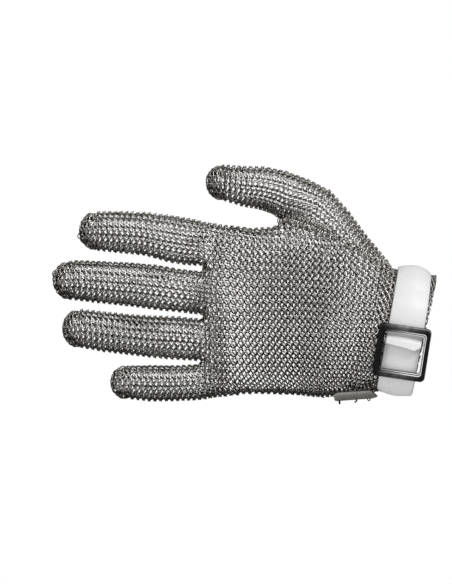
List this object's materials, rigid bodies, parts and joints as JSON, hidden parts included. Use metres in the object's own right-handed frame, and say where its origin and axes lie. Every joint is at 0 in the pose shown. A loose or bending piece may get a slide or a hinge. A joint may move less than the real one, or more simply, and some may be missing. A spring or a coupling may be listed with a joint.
{
  "type": "chainmail glove",
  "caption": "Five-finger safety glove of fine welded ring mail for a left hand, hollow and open at the wrist, closed there by a plastic strap with a square frame buckle.",
  "frame": {"origin": "middle of the wrist opening, in the plane of the mail's hem", "axes": "fingers towards -X, thumb side +Z, back of the hand -Y, palm +Y"},
  "size_m": [0.2008, 0.056, 0.1239],
  "materials": {
    "ring_steel": "polished stainless wire rings, welded, slightly warm",
    "white_plastic": "smooth white plastic, satin",
    "dark_steel": "dark brushed steel with a bright inner lip",
    "plate_steel": "plain grey stamped steel"
  },
  "bodies": {
    "root": {"mail_hand": "ring_steel", "mail_index_finger": "ring_steel", "mail_middle_finger": "ring_steel", "mail_ring_finger": "ring_steel", "mail_little_finger": "ring_steel", "mail_thumb": "ring_steel", "wrist_strap": "white_plastic", "buckle_frame": "dark_steel", "edge_plate": "plate_steel"}
  },
  "joints": []
}
